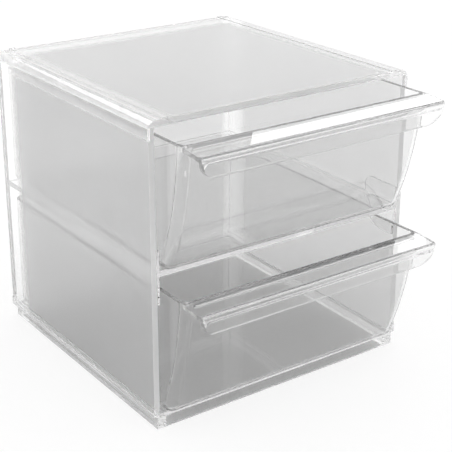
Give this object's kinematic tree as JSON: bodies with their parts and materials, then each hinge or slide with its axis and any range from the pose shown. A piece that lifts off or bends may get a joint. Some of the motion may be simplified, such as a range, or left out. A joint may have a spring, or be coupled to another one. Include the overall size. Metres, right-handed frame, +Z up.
{
  "type": "desk organizer cube with drawers",
  "caption": "Clear plastic desk cube, frosted top and sides, with pull-out trays whose slanted fronts end in folded lip handles; stacks on units like it.",
  "frame": {"origin": "middle of the whole object's footprint, drawers shut, on the surface it stands on", "axes": "+X to the right of someone facing the drawers, -Y towards that person (the way the drawers open), +Z up"},
  "size_m": [0.1524, 0.1832, 0.153],
  "materials": {
    "clear_polystyrene": "crystal clear, polished",
    "frosted_polystyrene": "clear moulding with a fine frosted texture inside clear, polished borders"
  },
  "bodies": {
    "case": {"case_top": "frosted_polystyrene", "case_base": "clear_polystyrene", "left_side_wall": "frosted_polystyrene", "right_side_wall": "frosted_polystyrene", "back_wall": "frosted_polystyrene", "middle_shelf": "clear_polystyrene"},
    "upper_tray": {"upper_drawer": "clear_polystyrene"},
    "lower_tray": {"lower_drawer": "clear_polystyrene"}
  },
  "joints": [
    {"name": "upper_drawer_slide", "type": "slide", "parent": "case", "child": "upper_tray", "axis": [0, -1, 0], "range_m": [0, 0.115]},
    {"name": "lower_drawer_slide", "type": "slide", "parent": "case", "child": "lower_tray", "axis": [0, -1, 0], "range_m": [0, 0.115]}
  ]
}
